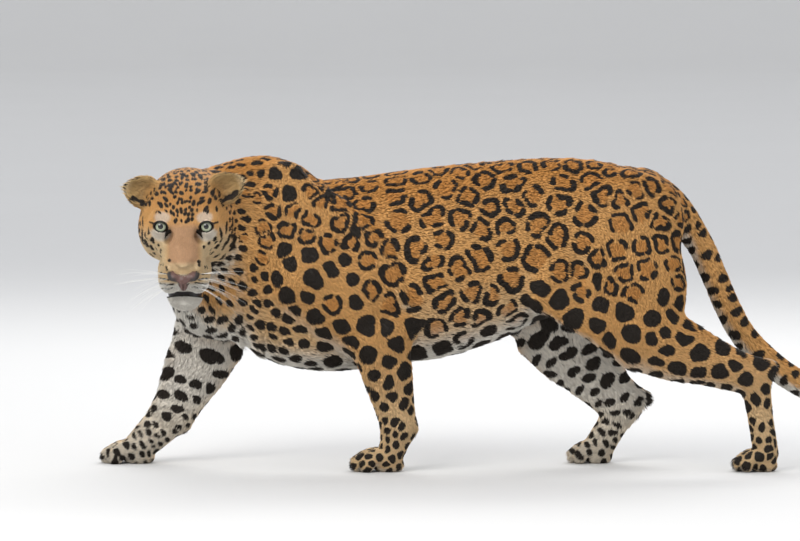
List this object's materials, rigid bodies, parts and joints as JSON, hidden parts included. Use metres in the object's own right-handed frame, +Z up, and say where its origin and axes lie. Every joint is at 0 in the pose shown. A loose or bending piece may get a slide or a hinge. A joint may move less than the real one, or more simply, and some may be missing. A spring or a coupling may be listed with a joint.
{
  "type": "leopard",
  "caption": "Still life-size model of a male leopard walking slowly, its head turned to look out sideways, standing on all its paws with the tail low and the tip turned up.",
  "frame": {"origin": "on the floor, under the middle of the figure's bounding box", "axes": "+X from the chest towards the tail, -Y the way the face looks, out from the animal's left side, +Z up"},
  "size_m": [1.8326, 0.4368, 0.6699],
  "materials": {
    "coat": "short dense fur, tawny with near-black rosettes and spots, white below",
    "nose_leather": "dark pinkish brown, finely grained, slightly moist",
    "eye": "wet and glossy, pale green-grey iris with a round dark pupil"
  },
  "bodies": {
    "root": {"head": "coat", "neck": "coat", "torso": "coat", "tail_base": "coat", "tail_middle": "coat", "tail_tip": "coat", "foreleg_upper_left": "coat", "foreleg_lower_left": "coat", "forepaw_left": "coat", "foreleg_upper_right": "coat", "foreleg_lower_right": "coat", "forepaw_right": "coat", "hindleg_upper_left": "coat", "hindleg_lower_left": "coat", "hindpaw_left": "coat", "hindleg_upper_right": "coat", "hindleg_lower_right": "coat", "hindpaw_right": "coat", "ear_left": "coat", "ear_right": "coat", "nose": "nose_leather", "eye_left": "eye", "eye_right": "eye"}
  },
  "joints": []
}
